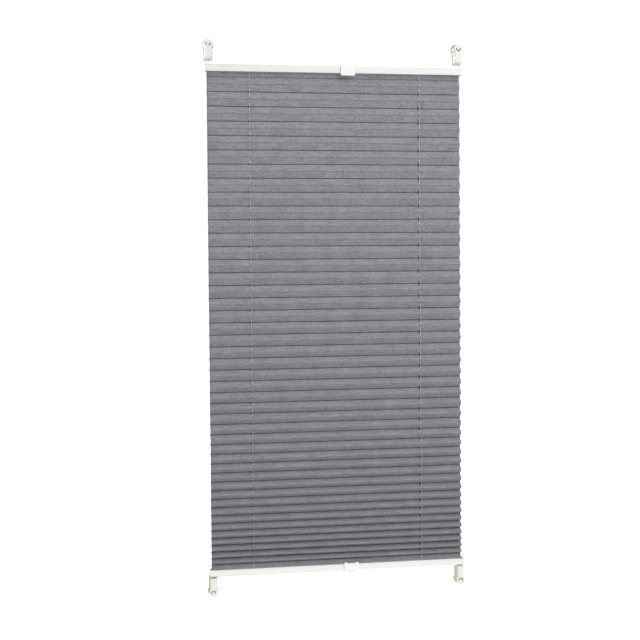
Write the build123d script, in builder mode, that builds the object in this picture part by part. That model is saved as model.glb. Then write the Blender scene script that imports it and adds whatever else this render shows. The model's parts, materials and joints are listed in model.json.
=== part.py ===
from build123d import *
from math import cos, pi, radians, sqrt, tan
import os

# A pleated blind that hangs on two tensioned cords between four wall brackets.
# Millimetres. X runs across the blind, +Z is up and the front faces -Y.
# The brackets' backs lie in y = 0, and the origin is midway between their four screw holes.

# ---- Rails ----
rail_span = 670.0  # tip to tip, over both end caps
rail_height = 17.0
rail_depth = 22.0
rail_wall = 1.3
rail_corner = 2.5
slot_width = 10.0  # the mouth that the cloth hangs from
lip_height = 2.4  # of the bead along each edge of the mouth
lip_proud = 0.8
hang_depth = 15.0  # from the wall to the middle of the rails

# ---- Cloth ----
cloth_width = 661.0
cloth_thickness = 0.4
panel_length = 20.0  # from fold to fold
panel_count = 88
top_half_angle = 71.0  # between a panel and the horizontal, where the pleats hang open
bottom_half_angle = 23.0  # and where they lie gathered
top_strip = 12.5  # from the top rail down to the first back fold
bottom_strip = 10.5  # from the last back fold down to the bottom rail
tab_width = 4.0  # of the cloth's edge that lies flat in a rail's mouth
tab_height = 0.75  # of that edge above the mouth

# ---- Cords ----
cord_diameter = 1.2
cord_inset = 4.3  # from a rail's tip to the cord that enters it
cord_hole_inset = 113.0  # from a rail's tip to the cord that runs through the cloth
cord_offset = 1.2  # the two cords pass each other inside a rail, one each side of its middle
cord_run_height = 12.0  # of the cord inside a rail, above the mouth
cap_bend = 4.0
guide_bend = 5.0
knot_radius = 1.8
cloth_hole_diameter = 3.0

# ---- End caps ----
cap_flange = 8.0
cap_skin = 2.0
cap_plug = 14.0
cap_cheek = 3.0
cap_pocket_width = 12.0
cap_hole_diameter = 2.8

# ---- Fabric strips and cord guides ----
strip_thickness = 1.6
guide_radius = 4.0
guide_height = 3.4
guide_spigot_radius = 2.2
guide_bore = 1.9

# ---- Handles ----
handle_x = 32.0  # right of the blind's middle
handle_width = 38.0
handle_wall = 1.6
ear_reach = 3.0  # behind the bead of the rail
nib_height = 3.0  # behind the rail's far edge
tab_drop = 7.0  # of the top clip's finger tab in front of the cloth
tab_chamfer = 3.0
ear_rise = 4.6  # of the bottom clip's two ears in front of the cloth
ear_gap = 20.0
ear_chamfer = 1.2
lug_span = 22.0  # of the bottom clip's lug below its rail
lug_drop = 2.5
grip_radius = 1.6

# ---- Brackets ----
bracket_inset = 9.0  # from a rail's tip to the bracket's middle
bracket_height = 54.0
bracket_disc_radius = 14.5
bracket_neck_width = 23.0
bracket_waist_fillet = 6.0
top_gap = 12.4  # between the top rail and its brackets
bottom_gap = 1.0
plate_thickness = 3.0
screw_hole_radius = 2.25
screw_head_radius = 4.4
key_width = 8.0  # of the block that the shoe snaps over
key_length = 14.0
key_height = 5.0
shoe_setback = 0.6  # of the shoe from the plate's edge
shoe_depth = 22.0
shoe_taper = 7.0
shoe_wall = 2.0
shoe_front_wall = 2.4
shoe_floor = 6.0  # that the cord's knot bears on
shoe_bore = 2.0
shoe_edge = 1.0
release_outer_radius = 6.0  # of the slot round the release tongue
release_inner_radius = 3.7
release_leg = 2.2

# ---- Clearances ----
fit = 0.15  # between pieces pressed or slid together
running = 0.3  # between pieces that move

# ---- Places that follow ----
hang_y = -hang_depth
section_length = rail_span - 2 * cap_flange
cord_x = rail_span / 2 - cord_inset
cord_hole_x = rail_span / 2 - cord_hole_inset
bracket_x = rail_span / 2 - bracket_inset
screw_reach = bracket_height - bracket_disc_radius
shoe_slope = tan(radians(shoe_taper))
knot_seat = shoe_floor + (hang_depth + cord_offset - plate_thickness) * shoe_slope + running
inner_depth = rail_depth - 2 * rail_wall
inner_height = rail_height - 2 * rail_wall
strip_floor = rail_wall + fit
strip_length = section_length - 2 * cap_plug - 2 * running


def pleat_angle(fold):
    """Half angle of the pleat at a fold, in degrees: the cloth's weight opens the pleats at the top."""
    return top_half_angle + (bottom_half_angle - top_half_angle) * fold / panel_count


def pleat_fold_y(fold):
    """Folds lie in turn behind and in front of the rails' middle."""
    reach = panel_length * cos(radians(pleat_angle(fold))) / 2
    return hang_y + reach if fold % 2 == 0 else hang_y - reach


pleat_drops = [
    sqrt(panel_length**2 - (pleat_fold_y(fold + 1) - pleat_fold_y(fold)) ** 2)
    for fold in range(panel_count)
]
cloth_drop = top_strip + sum(pleat_drops) + bottom_strip
hole_spacing_z = cloth_drop + 2 * rail_height + top_gap + bottom_gap + 2 * screw_reach
top_face_z = hole_spacing_z / 2 - screw_reach - top_gap - rail_height
bottom_face_z = top_face_z - cloth_drop
top_neck_z = top_face_z + rail_height + top_gap
bottom_neck_z = bottom_face_z - rail_height - bottom_gap

# A rail is drawn from its mouth outwards: side is 1 where outwards is up, and -1 where it is down.
RAILS = (("top", 1, top_face_z, top_neck_z), ("bottom", -1, bottom_face_z, bottom_neck_z))
HANDS = (("left", -1), ("right", 1))


def across(side, face_z, x=0.0):
    """Plane across a rail, with its origin in the rail's mouth and its y axis outwards."""
    return Plane(origin=(x, hang_y, face_z), x_dir=(0, 1, 0), z_dir=(side, 0, 0))


def facing(side, x, y, z):
    """Plane that faces the front, with its y axis outwards."""
    return Plane(origin=(x, y, z), x_dir=(side, 0, 0), z_dir=(0, -1, 0))


def cord_y(hand):
    """The cord of the left brackets runs in front of the rails' middle, and the right one behind."""
    return hang_y + hand * cord_offset


def finish(piece, name):
    """Names a finished piece and writes it."""
    piece.part.label = name
    export_step(piece.part, f"parts/{name}.step")


os.makedirs("parts", exist_ok=True)

# ---- Rails: an aluminium channel with a beaded mouth ----
for rail_name, side, face_z, neck_z in RAILS:
    with BuildPart() as rail:
        with BuildSketch(across(side, face_z)) as section:
            Rectangle(rail_depth, rail_height, align=(Align.CENTER, Align.MIN))
            fillet(section.vertices().group_by(Axis.Y)[-1], rail_corner)
            with Locations((-rail_depth / 2, lip_height / 2), (rail_depth / 2, lip_height / 2)):
                Rectangle(2 * lip_proud, lip_height)
            with Locations((0, rail_wall)):
                Rectangle(
                    inner_depth,
                    inner_height,
                    align=(Align.CENTER, Align.MIN),
                    mode=Mode.SUBTRACT,
                )
            Rectangle(slot_width, 3 * rail_wall, mode=Mode.SUBTRACT)
        extrude(amount=section_length / 2, both=True)
    finish(rail, f"{rail_name}_rail")

# ---- End caps: a flange as deep as the rail, and two cheeks that press into it ----
for rail_name, side, face_z, neck_z in RAILS:
    for hand_name, hand in HANDS:
        inner_end = across(side, face_z, hand * section_length / 2)
        outwards = hand * side
        with BuildPart() as cap:
            with BuildSketch(inner_end) as flange:
                Rectangle(rail_depth, rail_height, align=(Align.CENTER, Align.MIN))
                fillet(flange.vertices().group_by(Axis.Y)[-1], rail_corner)
                with Locations((-rail_depth / 2, lip_height / 2), (rail_depth / 2, lip_height / 2)):
                    Rectangle(2 * lip_proud, lip_height)
            extrude(amount=outwards * cap_flange)
            with BuildSketch(inner_end):
                cheek_y = inner_depth / 2 - fit - cap_cheek / 2
                with Locations((-cheek_y, rail_height / 2), (cheek_y, rail_height / 2)):
                    Rectangle(cap_cheek, inner_height - 2 * fit)
            extrude(amount=-outwards * cap_plug)
            with BuildSketch(inner_end):
                Rectangle(
                    cap_pocket_width,
                    cord_run_height + cap_hole_diameter,
                    align=(Align.CENTER, Align.MIN),
                )
            extrude(amount=outwards * (cap_flange - cap_skin), mode=Mode.SUBTRACT)
            with BuildSketch(Plane.XY.offset(face_z)):
                with Locations((hand * cord_x, cord_y(hand))):
                    Circle(cap_hole_diameter / 2)
            extrude(amount=side * (rail_height + 1), mode=Mode.SUBTRACT)
        finish(cap, f"{rail_name}_{hand_name}_end_cap")

# ---- Fabric strips: the bar behind each mouth that the cloth's edge is bonded to ----
for rail_name, side, face_z, neck_z in RAILS:
    with BuildPart() as strip:
        with BuildSketch(across(side, face_z)):
            with Locations((0, strip_floor)):
                Rectangle(
                    inner_depth - 2 * fit,
                    strip_thickness,
                    align=(Align.CENTER, Align.MIN),
                )
        extrude(amount=strip_length / 2, both=True)
        with BuildSketch(Plane.XY.offset(face_z)):
            with Locations((cord_hole_x, cord_y(-1)), (-cord_hole_x, cord_y(1))):
                Circle(guide_spigot_radius + fit)
        extrude(amount=side * rail_height, mode=Mode.SUBTRACT)
    finish(strip, f"{rail_name}_fabric_strip")

# ---- Cord guides: eyelets that stand in the strips where the cords turn into the cloth ----
for rail_name, side, face_z, neck_z in RAILS:
    for hand_name, hand in HANDS:
        guide_seat = face_z + side * (strip_floor + strip_thickness)
        with BuildPart() as guide:
            with BuildSketch(Plane.XY.offset(guide_seat)):
                with Locations((hand * cord_hole_x, cord_y(-hand))):
                    Circle(guide_radius)
            extrude(amount=side * guide_height)
            fillet(guide.faces().sort_by(Axis.Z)[-1 if side > 0 else 0].edges(), 1.0)
            with BuildSketch(Plane.XY.offset(guide_seat)):
                with Locations((hand * cord_hole_x, cord_y(-hand))):
                    Circle(guide_spigot_radius)
            extrude(amount=-side * strip_thickness)
            with BuildSketch(Plane.XY.offset(guide_seat - side * strip_thickness)):
                with Locations((hand * cord_hole_x, cord_y(-hand))):
                    Circle(guide_bore / 2)
            extrude(amount=side * (strip_thickness + guide_height), mode=Mode.SUBTRACT)
        finish(guide, f"{rail_name}_{hand_name}_cord_guide")


# ---- Cloth: one sheet folded to and fro, with its two edges flat in the rails' mouths ----
def cloth_line():
    """(y, z) of every fold, from the edge in the top rail to the edge in the bottom rail."""
    top_z = top_face_z + tab_height
    bottom_z = bottom_face_z - tab_height
    line = [Vector(hang_y - tab_width, top_z), Vector(hang_y, top_z)]
    z = top_face_z - top_strip
    line.append(Vector(pleat_fold_y(0), z))
    for fold, drop in enumerate(pleat_drops, start=1):
        z -= drop
        line.append(Vector(pleat_fold_y(fold), z))
    return line + [Vector(hang_y, bottom_z), Vector(hang_y - tab_width, bottom_z)]


def beside(line, distance):
    """The line shifted sideways by a distance, with its corners mitred."""
    shifted = []
    for index, point in enumerate(line):
        before = line[max(index - 1, 0)]
        after = line[min(index + 1, len(line) - 1)]
        into = (point - before if index else after - point).normalized()
        out = (after - point if index < len(line) - 1 else point - before).normalized()
        bisector = Vector(-into.Y - out.Y, into.X + out.X).normalized()
        square_on = Vector(-into.Y, into.X).dot(bisector)
        shifted.append(point + bisector * (distance / square_on))
    return shifted


fold_line = cloth_line()
with BuildPart() as cloth:
    with BuildSketch(Plane(origin=(0, 0, 0), x_dir=(0, 1, 0), z_dir=(1, 0, 0))):
        with BuildLine():
            Polyline(
                *beside(fold_line, cloth_thickness / 2),
                *reversed(beside(fold_line, -cloth_thickness / 2)),
                close=True,
            )
        make_face()
    extrude(amount=cloth_width / 2, both=True)
    with BuildSketch(Plane.XY.offset(bottom_face_z - rail_height)):
        with Locations((cord_hole_x, cord_y(-1)), (-cord_hole_x, cord_y(1))):
            Circle(cloth_hole_diameter / 2)
    extrude(amount=cloth_drop + 2 * rail_height, mode=Mode.SUBTRACT)
finish(cloth, "pleated_cloth")

# ---- Cords: each from a top bracket, across the top rail, down through the cloth, ----
# ---- back across the bottom rail and into the bottom bracket of its own side      ----
top_run_z = top_face_z + cord_run_height
bottom_run_z = bottom_face_z - cord_run_height
top_knot_z = top_neck_z + knot_seat + knot_radius
bottom_knot_z = bottom_neck_z - knot_seat - knot_radius
cord_bends = [cap_bend, guide_bend, guide_bend, cap_bend]
for hand_name, hand in HANDS:
    y = cord_y(hand)
    outer_x = hand * cord_x
    inner_x = -hand * cord_hole_x
    with BuildPart() as cord:
        with BuildLine() as route:
            FilletPolyline(
                (outer_x, y, top_knot_z),
                (outer_x, y, top_run_z),
                (inner_x, y, top_run_z),
                (inner_x, y, bottom_run_z),
                (outer_x, y, bottom_run_z),
                (outer_x, y, bottom_knot_z),
                radius=cord_bends,
            )
        with BuildSketch(Plane(origin=route.line @ 0, z_dir=route.line % 0)):
            Circle(cord_diameter / 2)
        sweep()
        tube_volume = cord.part.volume
        with Locations((outer_x, y, top_knot_z), (outer_x, y, bottom_knot_z)):
            Sphere(knot_radius)
    cord_length = route.wires()[0].length
    print(f"{hand_name} cord: length {cord_length:.1f}, bends {cord_bends},", end=" ")
    print(f"volume {tube_volume:.1f} against {pi * cord_diameter**2 / 4 * cord_length:.1f}")
    finish(cord, f"{hand_name}_tension_cord")

# ---- Handles: clips that wrap the front of each rail, with a finger tab that points down ----
front_reach = rail_depth / 2 + lip_proud + running
back_reach = rail_depth / 2 + running
for rail_name, side, face_z, neck_z in RAILS:
    far_height = rail_height + running
    with BuildPart() as handle:
        with BuildSketch(across(side, face_z, handle_x)):
            with BuildLine():
                Polyline(
                    (-rail_depth / 2 + ear_reach, -running),
                    (-front_reach, -running),
                    (-front_reach, far_height),
                    (back_reach, far_height),
                    (back_reach, far_height - nib_height),
                    (back_reach + handle_wall, far_height - nib_height),
                    (back_reach + handle_wall, far_height + handle_wall),
                    (-front_reach - handle_wall, far_height + handle_wall),
                    (-front_reach - handle_wall, -running - handle_wall),
                    (-rail_depth / 2 + ear_reach, -running - handle_wall),
                    close=True,
                )
            make_face()
        extrude(amount=handle_width / 2, both=True)
        fillet(handle.edges().filter_by(Axis.Y).group_by(Axis.Y)[0], handle_wall / 2)
        clip_front = facing(side, handle_x, hang_y - front_reach, face_z)
        clip_far = far_height + handle_wall
        if rail_name == "top":
            with BuildSketch(clip_front) as tab:
                Rectangle(handle_width, 2 * tab_drop)
                chamfer(tab.vertices().group_by(Axis.Y)[0], tab_chamfer)
            extrude(amount=handle_wall)
            grip_reach = grip_radius - tab_drop
            grip_span = handle_width - 2 * tab_chamfer
        else:
            ear_width = (handle_width - ear_gap) / 2
            ear_x = (handle_width - ear_width) / 2
            with BuildSketch(clip_front) as ears:
                with Locations((-ear_x, 0), (ear_x, 0)):
                    Rectangle(ear_width, 2 * ear_rise)
                chamfer(ears.vertices().group_by(Axis.Y)[0], ear_chamfer)
            extrude(amount=handle_wall)
            with BuildSketch(clip_front):
                with Locations((0, clip_far)):
                    Rectangle(lug_span, 2 * lug_drop)
            extrude(amount=handle_wall)
            grip_reach = clip_far + lug_drop - grip_radius
            grip_span = lug_span
        grip_y = hang_y - front_reach - handle_wall
        grip_z = face_z + side * grip_reach
        with BuildSketch(Plane(origin=(handle_x, grip_y, grip_z), z_dir=(1, 0, 0))):
            Circle(grip_radius)
        extrude(amount=grip_span / 2, both=True)
    finish(handle, f"{rail_name}_handle")


# ---- Brackets: a keyhole plate screwed to the wall, and a hollow shoe that snaps over it ----
def keyhole(setback, foot=0.0):
    """Outline of a bracket, set back from the plate's edge; its foot is the end beside the rail."""
    with BuildSketch() as outline:
        with Locations((0, screw_reach)):
            Circle(bracket_disc_radius - setback)
        with Locations((0, foot)):
            Rectangle(
                bracket_neck_width - 2 * setback,
                screw_reach - foot,
                align=(Align.CENTER, Align.MIN),
            )
        waist = outline.vertices().filter_by(lambda v: foot + 0.1 < v.Y)
        fillet(waist, bracket_waist_fillet)
    return outline.sketch


for rail_name, side, face_z, neck_z in RAILS:
    for hand_name, hand in HANDS:
        place_x = hand * bracket_x
        screw_z = neck_z + side * screw_reach
        with BuildPart() as plate:
            with BuildSketch(facing(side, place_x, 0, neck_z)):
                add(keyhole(0))
            extrude(amount=plate_thickness)
            key_foot = shoe_floor + key_height * shoe_slope + running
            key_z = neck_z + side * (key_foot + key_length / 2)
            with BuildSketch(facing(side, place_x, -plate_thickness, key_z)):
                Rectangle(key_width, key_length)
            extrude(amount=key_height)
            with Locations(facing(side, place_x, -plate_thickness, screw_z)):
                CounterSinkHole(screw_hole_radius, screw_head_radius, depth=plate_thickness)
        finish(plate, f"{rail_name}_{hand_name}_bracket_plate")

        with BuildPart() as shoe:
            with BuildSketch(facing(side, place_x, -plate_thickness, neck_z)):
                add(keyhole(shoe_setback, shoe_setback))
            extrude(amount=shoe_depth, taper=shoe_taper)
            fillet(shoe.faces().sort_by(Axis.Y)[0].edges(), shoe_edge)
            with BuildSketch(facing(side, place_x, -plate_thickness, neck_z)):
                add(keyhole(shoe_setback + shoe_wall, shoe_floor))
            extrude(amount=shoe_depth - shoe_front_wall, taper=shoe_taper, mode=Mode.SUBTRACT)
            with BuildSketch(facing(side, place_x, -plate_thickness - shoe_depth, screw_z)):
                Circle(release_outer_radius)
                Circle(release_inner_radius, mode=Mode.SUBTRACT)
                Rectangle(
                    2 * release_outer_radius,
                    release_outer_radius,
                    align=(Align.CENTER, Align.MIN),
                    mode=Mode.SUBTRACT,
                )
                leg_x = (release_outer_radius + release_inner_radius) / 2
                with Locations((-leg_x, 0), (leg_x, 0)):
                    Rectangle(
                        release_outer_radius - release_inner_radius,
                        release_leg,
                        align=(Align.CENTER, Align.MIN),
                    )
            extrude(amount=-2 * shoe_front_wall, mode=Mode.SUBTRACT)
            with BuildSketch(Plane.XY.offset(neck_z)):
                with Locations((hand * cord_x, cord_y(hand))):
                    Circle(shoe_bore / 2)
            extrude(amount=side * screw_reach / 2, mode=Mode.SUBTRACT)
        finish(shoe, f"{rail_name}_{hand_name}_tension_shoe")

print(f"cloth drop {cloth_drop:.2f}, cloth cut length", end=" ")
print(f"{sum((b - a).length for a, b in zip(fold_line, fold_line[1:])):.1f}")
print(f"screw hole spacing {2 * bracket_x:.3f} by {hole_spacing_z:.3f}")
print(f"top face {top_face_z:.3f}, bottom face {bottom_face_z:.3f}")
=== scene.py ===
"""A pleated blind in a bright studio: finishes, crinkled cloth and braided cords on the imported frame."""

import json
import logging
from dataclasses import dataclass, field
from enum import Enum
from math import cos, pi, radians, sin, sqrt
from typing import NamedTuple

import bpy
from mathutils import Matrix, Vector, noise

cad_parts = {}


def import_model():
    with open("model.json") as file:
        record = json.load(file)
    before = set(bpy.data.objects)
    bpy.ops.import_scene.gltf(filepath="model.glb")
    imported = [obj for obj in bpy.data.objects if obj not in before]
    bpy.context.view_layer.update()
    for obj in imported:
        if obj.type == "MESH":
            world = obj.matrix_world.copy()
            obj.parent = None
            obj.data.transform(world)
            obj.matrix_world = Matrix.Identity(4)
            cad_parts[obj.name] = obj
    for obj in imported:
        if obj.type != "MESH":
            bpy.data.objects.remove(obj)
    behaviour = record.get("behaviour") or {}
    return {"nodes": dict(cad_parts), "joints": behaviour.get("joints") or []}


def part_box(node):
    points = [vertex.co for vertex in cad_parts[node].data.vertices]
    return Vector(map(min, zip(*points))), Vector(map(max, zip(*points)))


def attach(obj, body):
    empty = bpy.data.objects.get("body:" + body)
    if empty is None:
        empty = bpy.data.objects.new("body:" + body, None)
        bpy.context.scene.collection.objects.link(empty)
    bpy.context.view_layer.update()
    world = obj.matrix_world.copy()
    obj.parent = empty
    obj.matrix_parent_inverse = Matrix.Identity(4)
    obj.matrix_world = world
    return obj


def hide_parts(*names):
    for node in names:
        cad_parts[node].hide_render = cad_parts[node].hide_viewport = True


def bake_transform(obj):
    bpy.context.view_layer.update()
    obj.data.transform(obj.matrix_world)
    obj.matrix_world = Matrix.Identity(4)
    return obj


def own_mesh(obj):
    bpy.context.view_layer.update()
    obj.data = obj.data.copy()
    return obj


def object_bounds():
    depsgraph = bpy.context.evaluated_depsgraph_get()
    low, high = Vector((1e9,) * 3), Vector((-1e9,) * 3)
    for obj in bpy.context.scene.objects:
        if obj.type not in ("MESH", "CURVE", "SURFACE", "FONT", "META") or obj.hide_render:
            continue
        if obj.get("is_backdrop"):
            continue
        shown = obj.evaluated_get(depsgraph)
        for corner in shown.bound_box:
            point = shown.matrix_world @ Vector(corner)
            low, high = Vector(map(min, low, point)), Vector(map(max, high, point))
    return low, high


LOG = logging.getLogger("pleated_blind")
MM = 0.001
# Bands of the wave texture in a unit of its space, at scale 1.
WAVE_BANDS = 3.18
# Planes of the noise, one for each unevenness of the cloth.
LIFT_PLANE = 3.1
SWAY_PLANE = 8.7
COARSE_PLANE = 0.4
FINE_PLANE = 5.2

Colour = tuple[float, float, float]
Path = list[Vector]


class Cell(NamedTuple):
    """A point of the cloth, its cut length from the sheet's first edge and how much painted shade its
    crease gets there.
    """

    place: Vector
    run: float
    crease: float


class End(Enum):
    """One end of the blind's drop, with the direction that leads outwards from the cloth."""

    TOP = 1
    BOTTOM = -1

    @property
    def label(self) -> str:
        """Start of the names of this end's nodes."""
        return self.name.lower()

    @property
    def carriage(self) -> str:
        """The body that slides at this end."""
        return f"{self.label}_carriage"

    @property
    def slide(self) -> str:
        """The joint that this end's rail slides on."""
        return f"{self.label}_rail_slide"

    @property
    def face_z(self) -> float:
        """Height of the rail face that the cloth leaves."""
        return self.inner(*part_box(f"{self.label}_rail"))

    @property
    def back_z(self) -> float:
        """Height of the rail's other face, where the cords go in."""
        return self.outer(*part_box(f"{self.label}_rail"))

    def inner(self, low: Vector, high: Vector) -> float:
        """Height of the side of a box that looks towards the cloth."""
        return low.z if self is End.TOP else high.z

    def outer(self, low: Vector, high: Vector) -> float:
        """Height of the side of a box that looks away from the cloth."""
        return high.z if self is End.TOP else low.z


class Hand(Enum):
    """Side of the blind as seen from the room."""

    LEFT = -1
    RIGHT = 1

    @property
    def label(self) -> str:
        """Start of the names of this side's nodes."""
        return self.name.lower()


# ---------------------------------------------------------------- finishes


class Recipe:
    """The shader of one material, with its Principled surface and its texture space."""

    def __init__(self, name: str, space: str = "Object") -> None:
        """Starts an empty material.

        Args:
            name: Name of the material.
            space: Output of the texture coordinates that patterns are laid in.
        """
        self.material = bpy.data.materials.new(name)
        self.material.use_nodes = True
        self.tree = self.material.node_tree
        self.surface = self.tree.nodes["Principled BSDF"]
        self.space = self.add("ShaderNodeTexCoord").outputs[space]

    def add(self, kind: str, settings: dict | None = None, **inputs) -> bpy.types.Node:
        """Adds one node.

        Args:
            kind: Blender's name of the node's type.
            settings: Properties of the node itself.
            inputs: Socket values or links, with underscores for the spaces in a socket's name.

        Returns:
            The new node.
        """
        node = self.tree.nodes.new(kind)
        for key, value in (settings or {}).items():
            setattr(node, key, value)
        for key, value in inputs.items():
            self.feed(node.inputs[key.replace("_", " ")], value)
        return node

    def feed(self, socket: bpy.types.NodeSocket, value: object) -> None:
        """Links a socket to an output, or sets its value.

        Args:
            socket: An input of one of the material's nodes.
            value: An output to link, or a plain value.
        """
        if isinstance(value, bpy.types.NodeSocket):
            self.tree.links.new(value, socket)
        else:
            socket.default_value = value

    def stretched(self, scale: tuple[float, float, float]) -> bpy.types.NodeSocket:
        """The texture space with each axis scaled on its own."""
        return self.add("ShaderNodeMapping", Vector=self.space, Scale=scale).outputs["Vector"]

    def grain(
        self,
        scale: float,
        detail: float = 3.0,
        space: bpy.types.NodeSocket | None = None,
        distortion: float = 0.0,
    ) -> bpy.types.NodeSocket:
        """Height of a fractal noise.

        Args:
            scale: Cells in a metre.
            detail: Octaves.
            space: Coordinates to lay it in, if not the recipe's own.
            distortion: How far the cells are dragged about.

        Returns:
            The noise's value, about 0 to 1.
        """
        made = self.add(
            "ShaderNodeTexNoise",
            Vector=space or self.space,
            Scale=scale,
            Detail=detail,
            Distortion=distortion,
        )
        return made.outputs["Fac"]

    def combine(self, kind: str, first: object, second: object) -> bpy.types.NodeSocket:
        """One arithmetic step.

        Args:
            kind: The step, such as ADD or MULTIPLY.
            first: A value or an output.
            second: A value or an output.

        Returns:
            The step's result.
        """
        node = self.add("ShaderNodeMath", {"operation": kind})
        self.feed(node.inputs[0], first)
        self.feed(node.inputs[1], second)
        return node.outputs["Value"]

    def spread(
        self, value: object, low: float, high: float, inset: float = 0.0
    ) -> bpy.types.NodeSocket:
        """A value mapped to run from low to high.

        Args:
            value: The value, about 0 to 1.
            low: The result at inset.
            high: The result at 1 less inset.
            inset: How far inside 0 to 1 the result reaches its ends, since noise seldom comes near them.

        Returns:
            The mapped value.
        """
        node = self.add(
            "ShaderNodeMapRange",
            Value=value,
            From_Min=inset,
            From_Max=1 - inset,
            To_Min=low,
            To_Max=high,
        )
        return node.outputs["Result"]

    def tinted(self, base: Colour, brightness: object) -> bpy.types.NodeSocket:
        """A colour made lighter or darker by a factor that varies over the surface.

        Args:
            base: The colour.
            brightness: The factor, about 1.

        Returns:
            The shaded colour.
        """
        node = self.add("ShaderNodeVectorMath", {"operation": "SCALE"})
        node.inputs[0].default_value = base
        self.feed(node.inputs["Scale"], brightness)
        return node.outputs["Vector"]

    def bump(
        self, height: object, distance: float, under: bpy.types.NodeSocket | None = None
    ) -> bpy.types.NodeSocket:
        """Normal of a relief.

        Args:
            height: The relief, about 0 to 1.
            distance: Its depth in metres.
            under: A coarser relief that this one lies on.

        Returns:
            The normal socket.
        """
        node = self.add("ShaderNodeBump", Height=height, Distance=distance, Strength=1.0)
        if under is not None:
            self.feed(node.inputs["Normal"], under)
        return node.outputs["Normal"]

    def finish(self, **sockets: object) -> bpy.types.Material:
        """Feeds the surface's sockets.

        Args:
            sockets: Values or links, with underscores for the spaces in a socket's name.

        Returns:
            The finished material.
        """
        for key, value in sockets.items():
            self.feed(self.surface.inputs[key.replace("_", " ")], value)
        return self.material


@dataclass(frozen=True)
class PowderCoat:
    """Cream-white coat on the aluminium rails, with faint drawing lines along the section."""

    name: str = "rail_powder_coat"
    colour: Colour = (0.69, 0.69, 0.655)
    roughness: float = 0.36
    peel_scale: float = 900.0
    peel_depth: float = 0.03 * MM
    line_scale: float = 700.0
    line_stretch: float = 0.01
    line_depth: float = 0.02 * MM
    cloud_scale: float = 9.0
    wear_scale: float = 240.0

    def make(self) -> bpy.types.Material:
        """Makes the coat.

        Returns:
            Its material.
        """
        recipe = Recipe(self.name)
        drawn = recipe.grain(self.line_scale, 2.0, recipe.stretched((self.line_stretch, 1.0, 1.0)))
        peel = recipe.bump(recipe.grain(self.peel_scale, 4.0), self.peel_depth)
        cloud = recipe.spread(recipe.grain(self.cloud_scale, 4.0), 0.97, 1.03)
        wear = recipe.grain(self.wear_scale, 5.0, distortion=0.4)
        shade = recipe.combine("MULTIPLY", cloud, recipe.spread(drawn, 0.985, 1.015))
        return recipe.finish(
            Base_Color=recipe.tinted(self.colour, shade),
            Roughness=recipe.spread(wear, self.roughness - 0.07, self.roughness + 0.08),
            Normal=recipe.bump(drawn, self.line_depth, peel),
            Coat_Weight=0.25,
            Coat_Roughness=0.22,
        )


@dataclass(frozen=True)
class MouldedPlastic:
    """Injection-moulded plastic with a spark-eroded skin and slow flow clouds."""

    name: str
    colour: Colour
    roughness: float = 0.42
    skin_scale: float = 2600.0
    skin_depth: float = 0.04 * MM
    flow_scale: float = 70.0
    smear_scale: float = 320.0
    gloss: float = 0.5
    subsurface: float = 0.08
    glow_depth: float = 2 * MM

    def make(self) -> bpy.types.Material:
        """Makes the plastic.

        Returns:
            Its material.
        """
        recipe = Recipe(self.name)
        skin = recipe.grain(self.skin_scale, 4.0)
        flow = recipe.spread(recipe.grain(self.flow_scale, 3.0, distortion=0.8), 0.96, 1.035)
        smear = recipe.grain(self.smear_scale, 4.0)
        shade = recipe.combine("MULTIPLY", flow, recipe.spread(skin, 0.985, 1.01))
        return recipe.finish(
            Base_Color=recipe.tinted(self.colour, shade),
            Roughness=recipe.spread(smear, self.roughness - 0.06, self.roughness + 0.1),
            Normal=recipe.bump(skin, self.skin_depth),
            Specular_IOR_Level=self.gloss,
            Subsurface_Weight=self.subsurface,
            Subsurface_Scale=self.glow_depth,
        )


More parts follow.
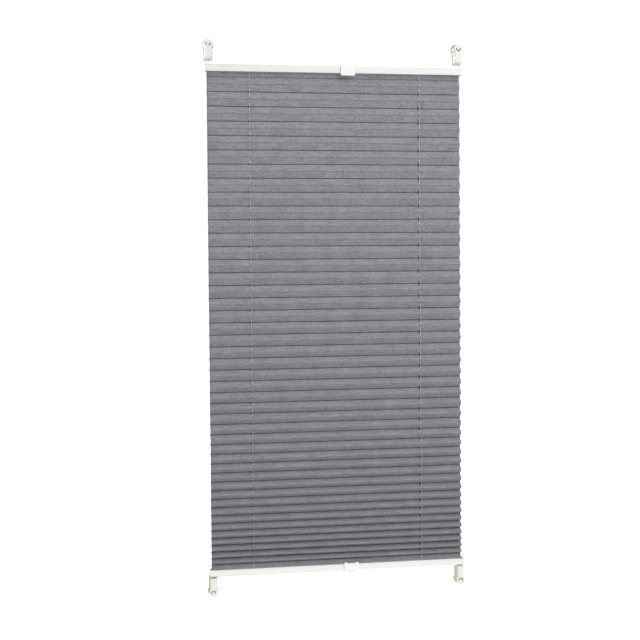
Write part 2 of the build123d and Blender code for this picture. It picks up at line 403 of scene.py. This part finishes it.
@dataclass(frozen=True)
class CrushedCloth:
    """Woven polyester with a heat-set crinkle; painted shade darkens its creases and the hollows of its
    crinkle.
    """

    name: str = "crushed_pleat_cloth"
    colour: Colour = (0.252, 0.256, 0.277)
    thread_pitch: float = 0.6 * MM
    thread_depth: float = 0.06 * MM
    crinkle_scale: float = 95.0
    crinkle_stretch: float = 0.55
    crinkle_depth: float = 1.1 * MM
    slub_scale: float = 260.0
    slub_stretch: float = 0.09
    fleck_scale: float = 230.0
    fleck_stretch: float = 0.6
    cloud_scale: float = 24.0
    # Painted shade: the colour's factor where the crease attribute is 1.
    crease_shade: float = 0.04
    roughness: float = 0.82

    def make(self) -> bpy.types.Material:
        """Makes the cloth's finish.

        Returns:
            Its material, which expects UVs in metres of cloth and an attribute named crease that paints
            shade into the creases.
        """
        recipe = Recipe(self.name, "UV")
        threads = [self.threads(recipe, way) for way in ("X", "Y")]
        weave = recipe.combine("MULTIPLY", *threads)
        crush = recipe.grain(
            self.crinkle_scale, 6.0, recipe.stretched((1.0, self.crinkle_stretch, 1.0)), distortion=1.4
        )
        folded = recipe.combine("ABSOLUTE", recipe.combine("SUBTRACT", crush, 0.5), 0.0)
        ridge = recipe.combine("SUBTRACT", 0.5, folded)
        slub = recipe.grain(self.slub_scale, 4.0, recipe.stretched((self.slub_stretch, 1.0, 1.0)))
        cloud = recipe.grain(self.cloud_scale, 5.0, distortion=0.6)
        # The crease attribute carries painted shade along the folds and round the cords' holes.
        crease = recipe.add("ShaderNodeAttribute", {"attribute_name": "crease"}).outputs["Fac"]
        fleck = recipe.grain(
            self.fleck_scale, 3.0, recipe.stretched((self.fleck_stretch, 1.0, 1.0)), distortion=0.8
        )
        # Painted shade: the crinkle's hollows darker and its ridges lighter, following its relief.
        shade = recipe.spread(ridge, 0.8, 1.08, 0.2)
        for part in (
            recipe.spread(slub, 0.87, 1.13, 0.3),
            recipe.spread(fleck, 0.82, 1.2, 0.3),
            recipe.spread(cloud, 0.92, 1.08, 0.28),
            recipe.spread(weave, 0.93, 1.05),
            recipe.spread(crease, 1.0, self.crease_shade),
        ):
            shade = recipe.combine("MULTIPLY", shade, part)
        coarse = recipe.bump(ridge, self.crinkle_depth)
        return recipe.finish(
            Base_Color=recipe.tinted(self.colour, shade),
            Roughness=recipe.spread(slub, self.roughness - 0.08, self.roughness + 0.1),
            Normal=recipe.bump(weave, self.thread_depth, coarse),
            Sheen_Weight=0.12,
            Sheen_Roughness=0.5,
            Specular_IOR_Level=0.25,
        )

    def threads(self, recipe: Recipe, way: str) -> bpy.types.NodeSocket:
        """One set of parallel threads, across or along the cloth.

        Args:
            recipe: The material being made.
            way: X or Y, the axis that the threads follow each other along.

        Returns:
            The threads' height, 0 to 1.
        """
        made = recipe.add(
            "ShaderNodeTexWave",
            {"wave_type": "BANDS", "bands_direction": way, "wave_profile": "SIN"},
            Vector=recipe.space,
            Scale=1 / (self.thread_pitch * WAVE_BANDS),
            Distortion=0.6,
            Detail=1.0,
            Detail_Scale=40.0,
        )
        return made.outputs["Fac"]


@dataclass(frozen=True)
class BraidedCord:
    """Thin braided polyester, its strands crossing in a fine diamond pattern."""

    name: str = "braided_tension_cord"
    colour: Colour = (0.50, 0.50, 0.51)
    strand_pitch: float = 1.6 * MM
    depth: float = 0.12 * MM
    fuzz_scale: float = 1500.0

    def make(self) -> bpy.types.Material:
        """Makes the cord's finish.

        Returns:
            Its material.
        """
        recipe = Recipe(self.name)
        lays = [
            recipe.add(
                "ShaderNodeTexWave",
                {"wave_type": "BANDS", "bands_direction": "DIAGONAL"},
                Vector=recipe.stretched((way, way, 1.0)),
                Scale=1 / (self.strand_pitch * WAVE_BANDS),
            ).outputs["Fac"]
            for way in (1.0, -1.0)
        ]
        braid = recipe.combine("MAXIMUM", *lays)
        fuzz = recipe.grain(self.fuzz_scale, 3.0)
        woven = recipe.spread(braid, 0.82, 1.05)
        shade = recipe.combine("MULTIPLY", woven, recipe.spread(fuzz, 0.92, 1.06))
        return recipe.finish(
            Base_Color=recipe.tinted(self.colour, shade),
            Roughness=recipe.spread(fuzz, 0.6, 0.8),
            Normal=recipe.bump(braid, self.depth),
            Sheen_Weight=0.1,
        )


@dataclass(frozen=True)
class StudioPaper:
    """Bright seamless paper under the blind, which glows to the eye more than it lights the blind."""

    name: str = "studio_paper"
    colour: Colour = (0.86, 0.86, 0.86)
    glow: float = 0.12
    sight_glow: float = 0.8
    mottle_scale: float = 40.0

    def make(self) -> bpy.types.Material:
        """Makes the paper.

        Returns:
            Its material.
        """
        recipe = Recipe(self.name)
        seen = recipe.add("ShaderNodeLightPath").outputs["Is Camera Ray"]
        mottle = recipe.spread(recipe.grain(self.mottle_scale, 3.0), 0.995, 1.005)
        return recipe.finish(
            Base_Color=recipe.tinted(self.colour, mottle),
            Roughness=0.9,
            Emission_Color=(1.0, 1.0, 1.0, 1.0),
            Emission_Strength=recipe.spread(seen, self.glow, self.sight_glow),
        )


# ---------------------------------------------------------------- mesh helpers


def new_mesh(name: str, points: Path, faces: list[tuple[int, ...]]) -> bpy.types.Object:
    """A mesh object in the scene, in the row frame.

    Args:
        name: Name of the piece.
        points: Its vertices.
        faces: Vertex indices of each face.

    Returns:
        The new object.
    """
    mesh = bpy.data.meshes.new(name)
    mesh.from_pydata(points, [], faces)
    mesh.update()
    made = bpy.data.objects.new(name, mesh)
    bpy.context.scene.collection.objects.link(made)
    return made


def straight_tube(
    name: str, start: Vector, end: Vector, radius: float, rings: int, sides: int = 10
) -> bpy.types.Object:
    """A closed round tube along one straight line.

    Args:
        name: Name of the piece.
        start: Middle of its first end.
        end: Middle of its other end.
        radius: Of the tube.
        rings: Rings of points along it.
        sides: Points of a ring.

    Returns:
        The tube.
    """
    turn = (end - start).to_track_quat("Z", "Y")
    points = []
    for ring in range(rings):
        middle = start.lerp(end, ring / (rings - 1))
        for side in range(sides):
            angle = 2 * pi * side / sides
            points.append(middle + turn @ Vector((radius * cos(angle), radius * sin(angle), 0)))
    faces = []
    for ring in range(0, (rings - 1) * sides, sides):
        for side in range(sides):
            beside = (side + 1) % sides
            faces.append((ring + side, ring + beside, ring + sides + beside, ring + sides + side))
    faces.append(tuple(reversed(range(sides))))
    faces.append(tuple(range((rings - 1) * sides, rings * sides)))
    made = new_mesh(name, points, faces)
    made.data.shade_smooth()
    made.data.set_sharp_from_angle(angle=radians(50))
    return made


def cord_curve(name: str, route: Path, radius: float, closed: bool = False) -> bpy.types.Object:
    """A smooth round cord whose line is a NURBS spline through the route's control points.

    Args:
        name: Name of the piece.
        route: Control points.
        radius: Of the cord.
        closed: Whether the spline runs back into its start.

    Returns:
        The curve object.
    """
    curve = bpy.data.curves.new(name, "CURVE")
    curve.dimensions = "3D"
    curve.bevel_depth = radius
    curve.bevel_resolution = 3
    curve.use_fill_caps = True
    spline = curve.splines.new("NURBS")
    spline.points.add(len(route) - 1)
    for control, place in zip(spline.points, route):
        control.co = (*place, 1.0)
    spline.order_u = 3
    spline.use_endpoint_u = not closed
    spline.use_cyclic_u = closed
    spline.resolution_u = 8
    made = bpy.data.objects.new(name, curve)
    bpy.context.scene.collection.objects.link(made)
    return made


# ---------------------------------------------------------------- the blind


@dataclass
class PleatedCloth:
    """The crinkled sheet, folded to and fro between the two rails."""

    finish: CrushedCloth = field(default_factory=CrushedCloth)
    node: str = "pleated_cloth"
    panel: float = 20 * MM
    panels: int = 88
    open_angle: float = 71.0
    gathered_angle: float = 23.0
    top_strip: float = 12.5 * MM
    tab: float = 4 * MM
    tab_height: float = 0.75 * MM
    thickness: float = 0.35 * MM
    clip_room: float = 2.0 * MM
    columns: int = 146
    column_gap: float = 0.5 * MM
    fold_sharpness: float = 28.0
    hole_half_width: float = 0.75 * MM
    hole_clearance: float = 0.2 * MM
    hole_margin: float = 0.3
    crease_share: float = 0.1
    # Painted shade along the folds: how dark the front folds, the first fold and the folds beside a cord
    # are painted.
    front_crease: float = 0.36
    first_crease: float = 0.6
    cord_crease: float = 0.5
    # Painted shade round each cord's hole at the back folds: its reach to the left, a column in between,
    # its reach to the right, its height and its strength.
    notch_left: float = 4.6 * MM
    notch_step: float = 1.8 * MM
    notch_right: float = 2.4 * MM
    notch_height: float = 2.6 * MM
    notch_crease: float = 1.6
    wander: float = 0.45 * MM
    lift_waves: tuple[float, float] = (5.0, 1.7)
    sway_waves: tuple[float, float] = (7.0, 2.3)
    belly: float = 0.35 * MM
    crumple: float = 0.32 * MM
    crumple_grain: float = 0.6
    coarse_waves: tuple[float, float] = (38.0, 46.0)
    fine_waves: tuple[float, float] = (95.0, 120.0)

    def __post_init__(self) -> None:
        """Takes the sheet's place from its node and the rails."""
        low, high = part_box(self.node)
        self.left, self.right = low.x, high.x
        self.middle_y = (low.y + high.y) / 2
        self.top_z, self.bottom_z = End.TOP.face_z, End.BOTTOM.face_z
        self.folds = self.fold_line()
        middle_z = (self.top_z + self.bottom_z) / 2
        self.parting = min(range(len(self.folds)), key=lambda k: abs(self.folds[k].z - middle_z))
        self.cords = [CordLine.of(hand) for hand in Hand]
        self.grid_x = self.column_places()

    def fold_line(self) -> Path:
        """The folds of the sheet, from the first back fold down to the last.

        Returns:
            One point for each fold, with x at 0.
        """
        folds = []
        z = self.top_z - self.top_strip
        for fold in range(self.panels + 1):
            share = fold / self.panels
            angle = radians(self.open_angle + (self.gathered_angle - self.open_angle) * share)
            reach = self.panel * cos(angle) / 2
            y = self.middle_y + (reach if fold % 2 == 0 else -reach)
            if folds:
                z -= sqrt(self.panel**2 - (y - folds[-1].y) ** 2)
            folds.append(Vector((0, y, z)))
        return folds

    def column_places(self) -> list[float]:
        """Places of the columns across the sheet, with a pair at the edges of each cord's hole and more
        where the painted shade round it fades.

        Returns:
            The places in order, in metres.
        """
        step = (self.right - self.left) / self.columns
        places = [self.left + step * column for column in range(self.columns + 1)]
        half_hole = self.hole_half_width
        reaches = (-self.notch_left, -self.notch_step, -half_hole, half_hole, self.notch_right)
        for cord in self.cords:
            places = [x for x in places if abs(x - cord.inner_x) > self.notch_left + self.column_gap]
            places += [cord.inner_x + reach for reach in reaches]
        return sorted(places)

    def cord_y(self, x: float) -> float:
        """Depth of the cord at the nearer side of the sheet, eased from one cord's to the other's.

        Args:
            x: Place across the sheet.

        Returns:
            The depth, in metres.
        """
        first, second = sorted(self.cords, key=lambda cord: cord.inner_x)
        share = min(max((x - first.inner_x) / (second.inner_x - first.inner_x), 0), 1)
        return first.y + (second.y - first.y) * share

    def fold_at(self, fold: int, x: float) -> Vector:
        """One fold's place in one column, with the wander of a pressed fold.

        Args:
            fold: Index of the fold.
            x: Place of the column.

        Returns:
            The fold's point there; the last front fold stays back, clear of the lower clip.
        """
        base = self.folds[fold]
        if fold == self.panels - 1:
            return Vector((x, base.y + self.clip_room, base.z))
        if fold in (0, self.panels, self.parting):
            return Vector((x, base.y, base.z))
        lift = uneven(x, fold, self.lift_waves, LIFT_PLANE) * self.wander
        sway = uneven(x, fold, self.sway_waves, SWAY_PLANE) * self.wander
        return Vector((x, base.y + sway, base.z + lift))

    def panel_rows(self, start: Vector, end: Vector, x: float) -> list[float]:
        """Shares down one panel at which its rows lie: its creases and the two edges of the cord's hole.

        Args:
            start: The panel's upper fold.
            end: Its lower fold.
            x: The column.

        Returns:
            The rows' shares, from 0 to just before 1.
        """
        depth = end.y - start.y
        crossing = (self.cord_y(x) - start.y) / depth
        half = CordLine.diameter / 2 / abs(depth) + self.hole_clearance / self.panel
        centre = min(max(crossing, self.hole_margin), 1 - self.hole_margin)
        return [0.0, self.crease_share, centre - half, centre + half, 1 - self.crease_share]

    def panel_point(self, start: Vector, end: Vector, share: float, run: float) -> Vector:
        """A point of one panel, with its belly and crumple.

        Args:
            start: The panel's upper fold in this column.
            end: Its lower fold.
            share: How far down the panel.
            run: The cut length from the sheet's top edge.

        Returns:
            The point.
        """
        point = start.lerp(end, share)
        along = (end - start).normalized()
        normal = Vector((0, along.z, -along.y))
        coarse = uneven(point.x, run, self.coarse_waves, COARSE_PLANE)
        fine = uneven(point.x, run, self.fine_waves, FINE_PLANE)
        swell = self.belly * coarse + self.crumple * (coarse + self.crumple_grain * fine)
        return point + normal * (sin(pi * share) * swell)

    def mouth(self, end: End) -> Vector:
        """Middle of the rail's mouth, at the height of the cloth's flat edge."""
        return Vector((0, self.middle_y, end.face_z + end.value * self.tab_height))

    def strip_run(self, end: End) -> float:
        """Cut length of the strip between a rail's mouth and the nearest fold."""
        return (self.folds[0 if end is End.TOP else -1] - self.mouth(end)).length

    def hem(self, end: End, fold: int, x: float) -> list[Cell]:
        """The edge that lies flat in a rail's mouth and the strip from there to the nearest fold.

        Args:
            end: The rail.
            fold: Index of the fold nearest to it.
            x: Place of the column.

        Returns:
            Rows from the sheet's edge inwards. A run counts down the sheet, from that edge at the
            top and from the nearest fold at the bottom.
        """
        strip = self.strip_run(end)
        pressed = self.crease_share * self.panel
        mouth = self.mouth(end) + Vector((x, 0, 0))
        places = (
            mouth - Vector((0, self.tab, 0)),
            mouth,
            mouth.lerp(self.fold_at(fold, x), 1 - pressed / strip),
        )
        runs = (0.0, self.tab, self.tab + strip - pressed)
        if end is End.BOTTOM:
            runs = tuple(self.tab + strip - run for run in runs)
        return [Cell(place, run, 0.0) for place, run in zip(places, runs)]

    def column(self, end: End, first: int, last: int, x: float) -> list[Cell]:
        """One column of a half.

        Args:
            end: The rail of this half.
            first: Index of its first fold.
            last: Index of its last fold.
            x: Place of the column.

        Returns:
            Its rows, from the top down.
        """
        made = self.hem(end, first, x) if end is End.TOP else []
        run = self.tab + self.strip_run(End.TOP) + first * self.panel
        for fold in range(first, last):
            start, stop = self.fold_at(fold, x), self.fold_at(fold + 1, x)
            for share in self.panel_rows(start, stop, x):
                # Each row's crease value is painted shade: round a cord's hole inside a panel, along the
                # crease at a fold.
                crease = self.notch_at(start, stop, share, x) if share else self.crease_at(fold, x)
                below = run + share * self.panel
                made.append(Cell(self.panel_point(start, stop, share, below), below, crease))
            run += self.panel
        made.append(Cell(self.fold_at(last, x), run, self.crease_at(last, x)))
        if end is End.BOTTOM:
            made += [cell._replace(run=run + cell.run) for cell in reversed(self.hem(end, last, x))]
        return made

    def crease_at(self, fold: int, x: float) -> float:
        """How much painted shade a fold's crease gets: back folds more than front folds, and most beside a
        cord.

        Args:
            fold: Index of the fold.
            x: Place of the column.

        Returns:
            The crease value, 1 at a plain back fold.
        """
        if fold % 2:
            return self.front_crease * (1 - fold / self.panels)
        if fold == 0:
            return self.first_crease
        return 1.0 + self.cord_crease * self.beside_cord(x)

    def beside_cord(self, x: float) -> float:
        """How near a column is to a cord's hole.

        Args:
            x: Place of the column.

        Returns:
            1 at the hole, falling to 0 at the edges of the painted shade round it, which is wider on its
            left.
        """
        nearness = [0.0]
        for cord in self.cords:
            away = x - cord.inner_x
            nearness.append(1 - abs(away) / (self.notch_left if away < 0 else self.notch_right))
        return max(nearness)

    def notch_at(self, start: Vector, stop: Vector, share: float, x: float) -> float:
        """Painted shade round a cord's hole, where it passes the back fold of a panel.

        Args:
            start: The panel's upper fold.
            stop: Its lower fold.
            share: How far down the panel.
            x: The column.

        Returns:
            The crease value there.
        """
        valley = start if start.y > stop.y else stop
        height = abs(start.lerp(stop, share).z - valley.z)
        fade = max(0.0, 1 - height / (2 * self.notch_height))
        return self.notch_crease * self.beside_cord(x) * fade

    def stitch(self, name: str, rows: list[list[Cell]]) -> bpy.types.Object:
        """Joins columns into one sheet, and leaves out the cords' holes.

        Args:
            name: Name of the piece.
            rows: The columns' rows.

        Returns:
            The sheet with its UVs in metres of cloth and its crease attribute of painted shade.
        """
        height = len(rows[0])
        cells = [cell for column in rows for cell in column]
        faces = []
        for column in range(len(rows) - 1):
            for row in range(height - 1):
                corner = column * height + row
                face = (corner, corner + 1, corner + height + 1, corner + height)
                if not self.is_hole([cells[index].place for index in face]):
                    faces.append(face)
        made = new_mesh(name, [cell.place for cell in cells], faces)
        crease = made.data.attributes.new("crease", "FLOAT", "POINT")
        crease.data.foreach_set("value", [cell.crease for cell in cells])
        layer = made.data.uv_layers.new(name="cloth")
        for loop in made.data.loops:
            cell = cells[loop.vertex_index]
            layer.data[loop.index].uv = (cell.place.x, cell.run)
        made.data.shade_smooth()
        made.data.set_sharp_from_angle(angle=radians(self.fold_sharpness))
        return made

    def is_hole(self, corners: Path) -> bool:
        """Whether a face lies where a cord passes through the sheet.

        Args:
            corners: The face's corners.

        Returns:
            True where the face is left out.
        """
        middle = sum(corners, Vector()) / len(corners)
        return any(
            abs(middle.x - cord.inner_x) < self.hole_half_width / 2
            and abs(middle.y - cord.y) < self.hole_half_width
            and abs(middle.z - self.top_z) > self.top_strip
            for cord in self.cords
        )

    def half(self, end: End) -> bpy.types.Object:
        """One half of the sheet, from its rail to the fold at mid height.

        Args:
            end: The rail that it hangs from or stands on.

        Returns:
            The half as a thin solid sheet.
        """
        first, last = (0, self.parting) if end is End.TOP else (self.parting, self.panels)
        rows = [self.column(end, first, last, x) for x in self.grid_x]
        made = self.stitch(f"{end.label}_pleated_cloth", rows)
        solid = made.modifiers.new("cloth_thickness", "SOLIDIFY")
        solid.thickness = self.thickness
        solid.offset = 0.0
        return made

    def build(self) -> None:
        """Makes, dresses and hangs both halves."""
        material = self.finish.make()
        anchor = Vector((0, self.middle_y, self.folds[self.parting].z))
        for end in End:
            made = self.half(end)
            made.data.materials.append(material)
            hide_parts(self.node)
            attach(made, "brackets")
            panels = self.parting if end is End.TOP else self.panels - self.parting
            length = panels * self.panel + self.strip_run(end) + self.tab
            gather(made, end, anchor)
            f"{end.label}_fabric_strip"
            report(made)


def uneven(across: float, along: float, waves: tuple[float, float], plane: float) -> float:
    """Smooth unevenness over the sheet.

    Args:
        across: Place across the sheet.
        along: Place down the sheet.
        waves: How fast it varies each way.
        plane: Plane of the noise that it is read from.

    Returns:
        A value of about -0.5 to 0.5.
    """
    return noise.noise(Vector((across * waves[0], along * waves[1], plane)))


def gather(piece: bpy.types.Object, end: End, anchor: Vector) -> None:
    """Reads how far a rail travels and gives a piece between it and mid height its own mesh.

    Args:
        piece: The mesh.
        end: The rail whose travel is read.
        anchor: The point that the rail's distance is measured from.
    """
    joint = next(j for j in FRAME["joints"] if j["name"] == end.slide)
    keep = 1 - joint["range_m"][1] / abs(end.face_z - anchor.z)
    end.slide
    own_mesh(piece)


@dataclass
class CordLine:
    """Where one tension cord runs, taken from its node."""

    hand: Hand
    outer_x: float
    inner_x: float
    y: float
    top_knot_z: float
    bottom_knot_z: float
    diameter: float = 1.2 * MM
    knot_radius: float = 1.8 * MM
    run_height: float = 12 * MM

    @classmethod
    def of(cls, hand: Hand) -> "CordLine":
        """Reads the line of one cord from the frame.

        Args:
            hand: The side of the cord's brackets.

        Returns:
            The cord's line.
        """
        low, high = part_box(f"{hand.label}_tension_cord")
        outer, inner = (low.x, high.x) if hand is Hand.LEFT else (high.x, low.x)
        return cls(
            hand,
            outer - hand.value * cls.knot_radius,
            inner + hand.value * cls.diameter / 2,
            (low.y + high.y) / 2,
            high.z - cls.knot_radius,
            low.z + cls.knot_radius,
        )

    def at(self, x: float, z: float) -> Vector:
        """A point of the cord's plane."""
        return Vector((x, self.y, z))


@dataclass
class TensionCord:
    """One braided cord: tails at the brackets, runs inside the rails and two lengths in the cloth."""

    line: CordLine
    material: bpy.types.Material
    near_bend: float = 7 * MM
    cap_reach: float = 1 * MM
    guide_reach: float = 2 * MM
    tail_rings: int = 40
    drop_rings: int = 60
    setting_knot_gap: float = 4.5 * MM
    knot_size: float = 0.42 * MM
    knot_width: float = 0.55
    knot_depth: float = 0.8
    knot_tube: float = 0.42
    knot_points: int = 24

    @property
    def name(self) -> str:
        """Start of the pieces' names, which is also the cord's node."""
        return f"{self.line.hand.label}_tension_cord"

    def dress(self, piece: bpy.types.Object) -> bpy.types.Object:
        """Gives a piece the cord's finish and hides the cord's node.

        Args:
            piece: The piece.

        Returns:
            The same piece.
        """
        piece.data.materials.append(self.material)
        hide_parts(self.name)
        return piece

    def tail(self, end: End) -> None:
        """The length from a bracket's knot into the end cap.

        Args:
            end: The rail that it enters.
        """
        line = self.line
        shoe_z = end.inner(*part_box(f"{end.label}_{line.hand.label}_tension_shoe"))
        knot_z = line.top_knot_z if end is End.TOP else line.bottom_knot_z
        inside_z = end.back_z - end.value * self.cap_reach
        made = straight_tube(
            f"{self.name}_{end.label}_tail",
            line.at(line.outer_x, knot_z),
            line.at(line.outer_x, inside_z),
            line.diameter / 2,
            self.tail_rings,
        )
        self.dress(made)
        end.carriage
        line.at(line.outer_x, shoe_z)
        line.at(line.outer_x, end.back_z)
        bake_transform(made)
        report(made)
        self.knot(f"{self.name}_{end.label}_knot", knot_z)
        if end is End.TOP:
            self.knot(f"{self.name}_setting_knot", shoe_z - self.setting_knot_gap)

    def knot(self, name: str, z: float) -> None:
        """A small overhand knot on the tail.

        Args:
            name: Name of the piece.
            z: Height of the knot's middle.
        """
        middle = self.line.at(self.line.outer_x, z)
        wide = self.knot_size * self.knot_width
        deep = self.knot_size * self.knot_depth
        route = []
        for point in range(self.knot_points):
            turn = 2 * pi * point / self.knot_points
            loop = Vector((
                wide * (sin(turn) + 2 * sin(2 * turn)),
                -deep * sin(3 * turn),
                wide * (cos(turn) - 2 * cos(2 * turn)),
            ))
            route.append(middle + loop)
        made = cord_curve(name, route, self.line.diameter * self.knot_tube, True)
        self.dress(made)
        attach(made, "brackets")
        report(made)

    def run(self, end: End) -> None:
        """The length inside a rail, from its end cap to the guide over the cloth.

        Args:
            end: The rail.
        """
        line = self.line
        run_z = end.face_z + end.value * line.run_height
        inwards = -line.hand.value * self.near_bend
        route = [
            line.at(line.outer_x, end.back_z - end.value * self.cap_reach),
            line.at(line.outer_x, run_z),
            line.at(line.outer_x + inwards, run_z),
            line.at(line.inner_x - inwards, run_z),
            line.at(line.inner_x, run_z),
            line.at(line.inner_x, end.face_z + end.value * self.guide_reach),
        ]
        made = cord_curve(f"{self.name}_{end.label}_run", route, line.diameter / 2)
        self.dress(made)
        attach(made, end.carriage)
        report(made)

    def drop(self, end: End, parting_z: float) -> None:
        """The length that hangs through one half of the cloth.

        Args:
            end: The rail that it leaves.
            parting_z: Height at which the two halves meet.
        """
        line = self.line
        made = straight_tube(
            f"{self.name}_{end.label}_drop",
            line.at(line.inner_x, end.face_z + end.value * self.guide_reach),
            line.at(line.inner_x, parting_z),
            line.diameter / 2,
            self.drop_rings,
        )
        self.dress(made)
        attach(made, "brackets")
        gather(made, end, line.at(line.inner_x, parting_z))
        report(made)

    def build(self, parting_z: float) -> None:
        """Makes every length of the cord.

        Args:
            parting_z: Height at which the two halves of the cloth meet.
        """
        for end in End:
            self.tail(end)
            self.run(end)
            self.drop(end, parting_z)


@dataclass
class Hardware:
    """The rigid pieces of the blind, which keep their frame shape and get their finish here."""

    coat: PowderCoat = field(default_factory=PowderCoat)
    cap: MouldedPlastic = MouldedPlastic("end_cap_plastic", (0.68, 0.68, 0.635), 0.4)
    handle: MouldedPlastic = MouldedPlastic("handle_plastic", (0.74, 0.74, 0.71), 0.34)
    shoe: MouldedPlastic = MouldedPlastic("tension_shoe_plastic", (0.68, 0.67, 0.60), 0.44)
    plate: MouldedPlastic = MouldedPlastic("bracket_plate_plastic", (0.50, 0.50, 0.455), 0.48)
    guide: MouldedPlastic = MouldedPlastic("cord_guide_nylon", (0.70, 0.70, 0.68), 0.3, subsurface=0.2)
    strip: MouldedPlastic = MouldedPlastic("fabric_strip_plastic", (0.62, 0.62, 0.60), 0.5)
    edge: float = 0.25 * MM
    edge_steps: int = 2
    edge_angle: float = 38.0
    weld: float = 0.002 * MM

    def dress(self, node: str, material: bpy.types.Material) -> None:
        """Gives one node its finish and soft edges.

        Args:
            node: Name of the node.
            material: Its finish.
        """
        piece = FRAME["nodes"][node]
        piece.data.materials.clear()
        piece.data.materials.append(material)
        weld = piece.modifiers.new("joined_faces", "WELD")
        weld.merge_threshold = self.weld
        bevel = piece.modifiers.new("soft_edges", "BEVEL")
        bevel.width = self.edge
        bevel.segments = self.edge_steps
        bevel.limit_method = "ANGLE"
        bevel.angle_limit = radians(self.edge_angle)
        bevel.harden_normals = True
        report(piece)

    def build(self) -> None:
        """Dresses both rails' carriages, the handles and the brackets."""
        coat, strip, handle = self.coat.make(), self.strip.make(), self.handle.make()
        cap, guide = self.cap.make(), self.guide.make()
        plate, shoe = self.plate.make(), self.shoe.make()
        for end in End:
            self.dress(f"{end.label}_rail", coat)
            self.dress(f"{end.label}_fabric_strip", strip)
            self.dress(f"{end.label}_handle", handle)
            for hand in Hand:
                place = f"{end.label}_{hand.label}"
                self.dress(f"{place}_end_cap", cap)
                self.dress(f"{place}_cord_guide", guide)
                self.dress(f"{place}_bracket_plate", plate)
                self.dress(f"{place}_tension_shoe", shoe)


# ---------------------------------------------------------------- studio


@dataclass
class StudioCamera:
    """The camera, left of the blind's middle and a little above it."""

    place: Vector = field(default_factory=lambda: Vector((-0.4678, -2.831, 0.146)))
    yaw: float = 8.57
    pitch: float = -1.38
    roll: float = -0.45
    lens: float = 61.9
    sensor: float = 36.0
    shift: float = -0.05

    def build(self) -> None:
        """Makes the camera and hands it to the scene."""
        data = bpy.data.cameras.new("studio_camera")
        data.lens = self.lens
        data.sensor_width = self.sensor
        data.shift_y = self.shift
        turn = Matrix.Rotation(radians(-self.yaw), 3, "Z")
        turn = turn @ Matrix.Rotation(radians(90 + self.pitch), 3, "X")
        turn = turn @ Matrix.Rotation(radians(self.roll), 3, "Z")
        camera = bpy.data.objects.new("studio_camera", data)
        camera.location = self.place
        camera.rotation_euler = turn.to_euler()
        bpy.context.scene.collection.objects.link(camera)
        bpy.context.scene.camera = camera


@dataclass(frozen=True)
class SoftBox:
    """One square soft light that looks at the blind's middle; the camera doesn't see the box itself."""

    name: str
    place: tuple[float, float, float]
    size: float
    power: float

    def build(self) -> None:
        """Hangs the light."""
        data = bpy.data.lights.new(self.name, "AREA")
        data.shape = "SQUARE"
        data.size = self.size
        data.energy = self.power
        lamp = hang(data, Vector(self.place))
        lamp.location = self.place


@dataclass(frozen=True)
class Diffuser:
    """Even light from a large screen, the same at every height of the blind."""

    name: str
    place: tuple[float, float, float]
    spread: float
    strength: float

    def build(self) -> None:
        """Hangs the light."""
        data = bpy.data.lights.new(self.name, "SUN")
        data.angle = radians(self.spread)
        data.energy = self.strength
        hang(data, Vector(self.place))


def hang(data: bpy.types.Light, place: Vector) -> bpy.types.Object:
    """Links a light that looks from a place to the blind's middle.

    Args:
        data: The light's settings.
        place: Where its light comes from.

    Returns:
        The light, still at the origin.
    """
    lamp = bpy.data.objects.new(data.name, data)
    lamp.visible_camera = False
    lamp.rotation_euler = (-place).to_track_quat("-Z", "Y").to_euler()
    bpy.context.scene.collection.objects.link(lamp)
    return lamp


@dataclass
class Studio:
    """Pale floor, bright surroundings and soft lights."""

    key: SoftBox = SoftBox("key_light", (3.6, -5.0, 2.4), 1.8, 158.0)
    fill: SoftBox = SoftBox("fill_light", (-0.2, -3.4, -1.3), 1.8, 57.0)
    back: SoftBox = SoftBox("back_light", (-1.6, 4.8, 1.2), 2.0, 150.0)
    sky: Diffuser = Diffuser("sky_light", (0.3, -0.8, 0.95), 50.0, 1.5)
    floor_gap: float = 0.35
    floor_size: float = 60.0
    ambient: float = 0.25
    sight: float = 1.05

    def floor(self, low: Vector) -> None:
        """The pale floor under the blind.

        Args:
            low: The lowest corner of the blind's box.
        """
        half = self.floor_size / 2
        z = low.z - self.floor_gap
        corners = [Vector((x * half, y * half, z)) for x, y in ((-1, -1), (1, -1), (1, 1), (-1, 1))]
        made = new_mesh("studio_floor", corners, [(0, 1, 2, 3)])
        made.data.materials.append(StudioPaper().make())
        made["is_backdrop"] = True

    def surroundings(self) -> None:
        """White behind the blind, and softer as a light."""
        world = bpy.data.worlds.new("studio_surroundings")
        world.use_nodes = True
        tree = world.node_tree
        back = tree.nodes["Background"]
        back.inputs["Color"].default_value = (1.0, 1.0, 1.0, 1.0)
        seen = tree.nodes.new("ShaderNodeLightPath")
        level = tree.nodes.new("ShaderNodeMapRange")
        level.inputs["To Min"].default_value = self.ambient
        level.inputs["To Max"].default_value = self.sight
        tree.links.new(seen.outputs["Is Camera Ray"], level.inputs["Value"])
        tree.links.new(level.outputs["Result"], back.inputs["Strength"])
        bpy.context.scene.world = world

    def build(self, low: Vector) -> None:
        """Makes the floor, the surroundings and the lights.

        Args:
            low: The lowest corner of the blind's box.
        """
        self.floor(low)
        self.surroundings()
        for light in (self.key, self.fill, self.back, self.sky):
            light.build()
        bpy.context.scene.view_settings.view_transform = "Standard"


def report(piece: bpy.types.Object) -> None:
    """Logs a finished piece."""
    LOG.info("%s: %s", piece.name, ", ".join(m.name for m in piece.data.materials))


def main() -> None:
    """Builds the whole scene in order: camera, cords, cloth, hardware and studio."""
    logging.basicConfig(level=logging.INFO, format="%(name)s %(message)s")
    StudioCamera().build()
    cloth = PleatedCloth()
    cord_finish = BraidedCord().make()
    for line in cloth.cords:
        TensionCord(line, cord_finish).build(cloth.folds[cloth.parting].z)
    cloth.build()
    Hardware().build()
    Studio().build(CAD_BOX[0])


if __name__ == "__main__":
    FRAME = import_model()
    CAD_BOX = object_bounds()
    main()
